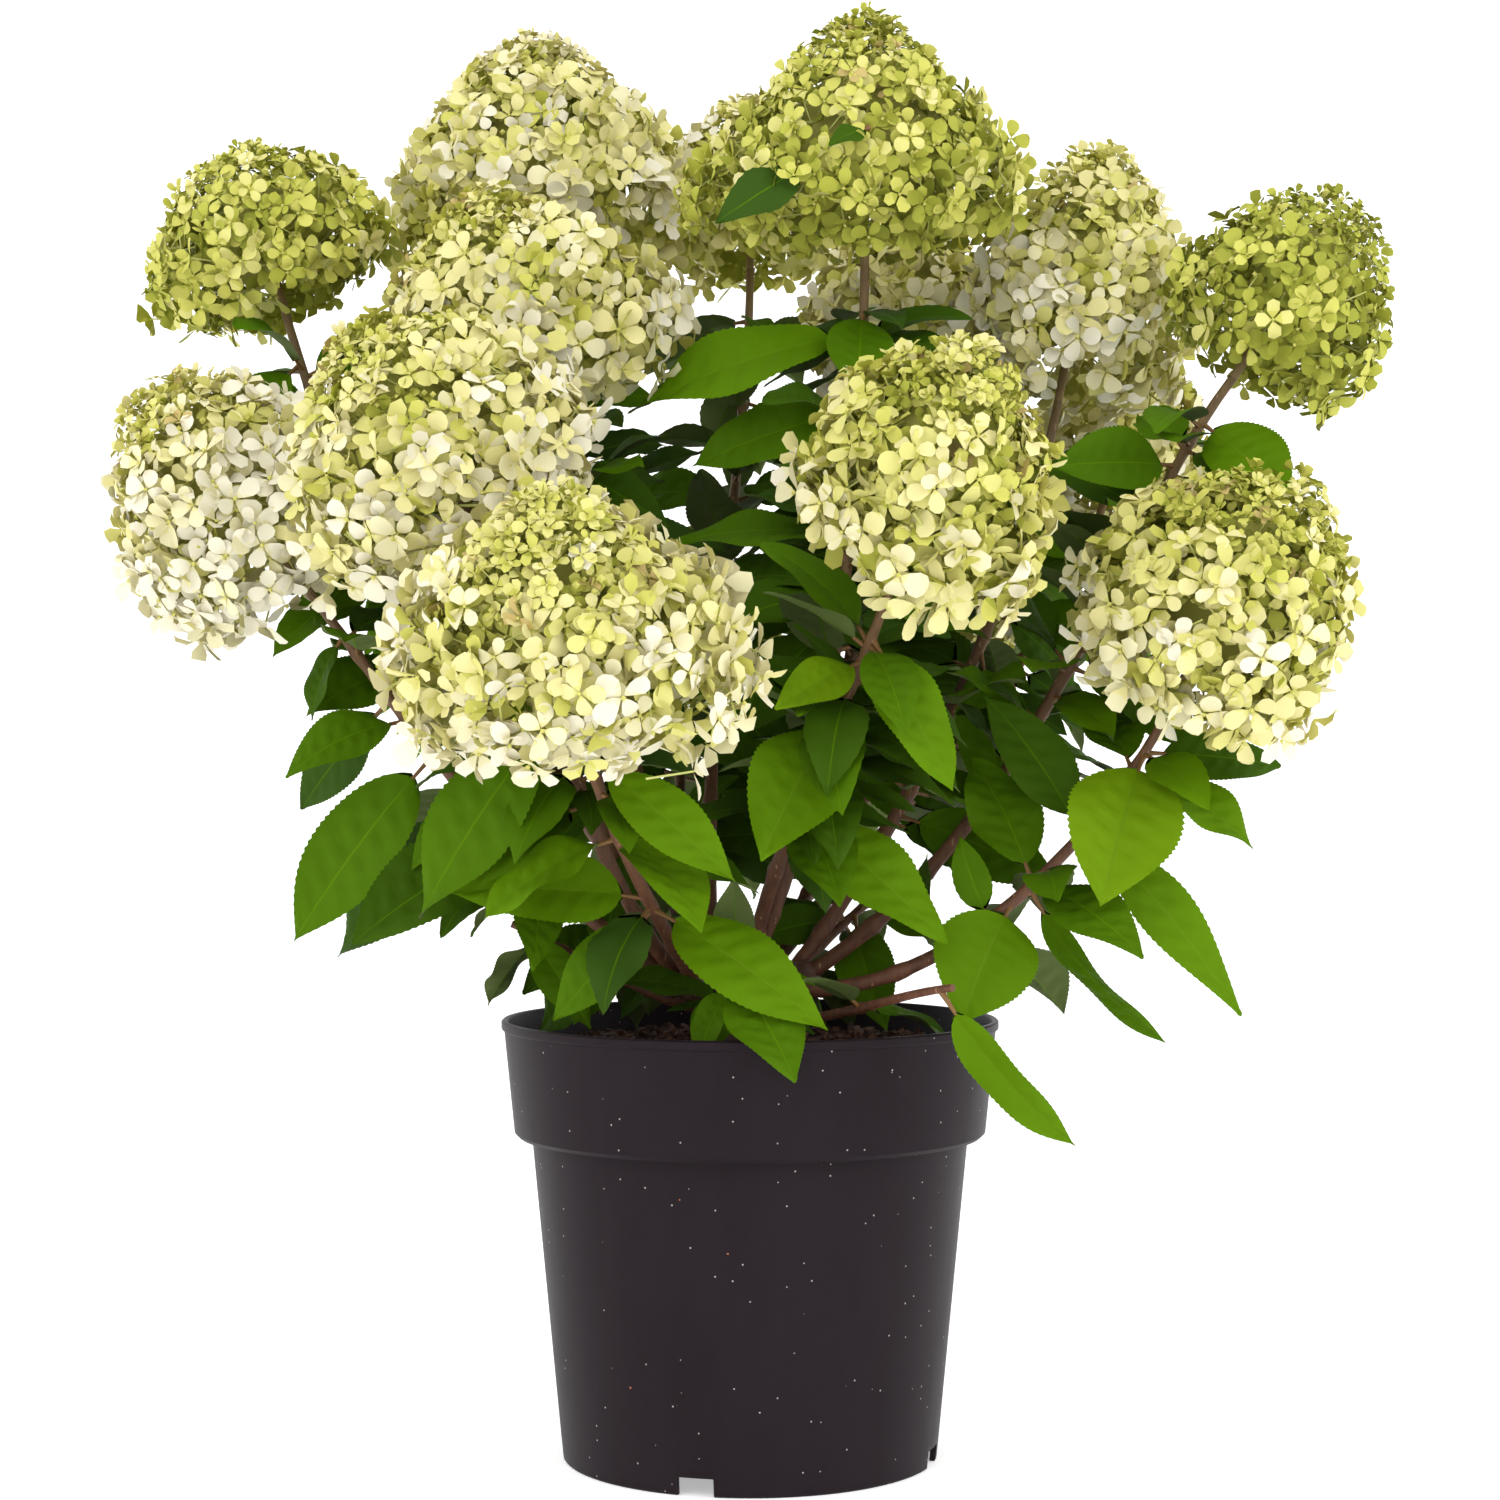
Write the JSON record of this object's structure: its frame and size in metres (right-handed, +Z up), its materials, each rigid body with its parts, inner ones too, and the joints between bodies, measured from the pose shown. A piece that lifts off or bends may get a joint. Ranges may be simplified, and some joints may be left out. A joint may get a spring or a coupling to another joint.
{
  "type": "potted panicle hydrangea shrub",
  "caption": "Bushy panicle hydrangea with domed white, cream and lime flower heads on reddish canes with toothed green leaves, growing in a black plastic nursery pot.",
  "frame": {"origin": "centre of the pot's underside, on the ground it stands on", "axes": "+Z up through the pot and the plant, the front as pictured faces -Y, +X to the right of that view"},
  "size_m": [0.606, 0.534, 0.7182],
  "materials": {
    "pot": "black moulded plastic, slightly satin, finely speckled and scuffed",
    "compost": "damp red-brown bark and peat compost, rough",
    "stool": "rough grey-brown bark",
    "cane_bark": "smooth reddish brown bark with thickened nodes",
    "leaves": "matt to slightly glossy mid green, paler beneath",
    "flowers_lime": "soft matt petals, lime green",
    "flowers_cream": "soft matt petals, cream",
    "flowers_white": "soft matt petals, white"
  },
  "bodies": {
    "root": {"pot": "pot", "compost": "compost", "stool": "stool", "bough_01": "cane_bark", "bough_02": "cane_bark", "bough_03": "cane_bark", "bough_04": "cane_bark", "bough_05": "cane_bark", "bough_06": "cane_bark", "bough_07": "cane_bark", "bough_08": "cane_bark", "bough_09": "cane_bark", "bough_10": "cane_bark", "bough_11": "cane_bark", "bough_12": "cane_bark", "bough_13": "cane_bark", "bough_14": "cane_bark", "bough_15": "cane_bark", "bough_16": "cane_bark", "bough_17": "cane_bark", "leaves_01": "leaves", "leaves_02": "leaves", "leaves_03": "leaves", "leaves_04": "leaves", "leaves_05": "leaves", "leaves_06": "leaves", "leaves_07": "leaves", "leaves_08": "leaves", "leaves_09": "leaves", "leaves_10": "leaves", "leaves_11": "leaves", "leaves_12": "leaves", "leaves_13": "leaves", "leaves_14": "leaves", "leaves_15": "leaves", "leaves_16": "leaves", "leaves_17": "leaves", "leaves_low_1": "leaves", "leaves_low_2": "leaves", "leaves_low_3": "leaves", "leaves_low_4": "leaves", "leaves_low_5": "leaves", "head_01": "flowers_lime", "head_02": "flowers_cream", "head_03": "flowers_cream", "head_04": "flowers_white", "head_05": "flowers_white", "head_06": "flowers_white", "head_07": "flowers_lime", "head_08": "flowers_cream", "head_09": "flowers_lime", "head_10": "flowers_white", "head_11": "flowers_white", "head_12": "flowers_cream", "head_13": "flowers_cream", "head_14": "flowers_cream", "head_15": "flowers_white", "head_16": "flowers_lime", "head_17": "flowers_cream"}
  },
  "joints": []
}
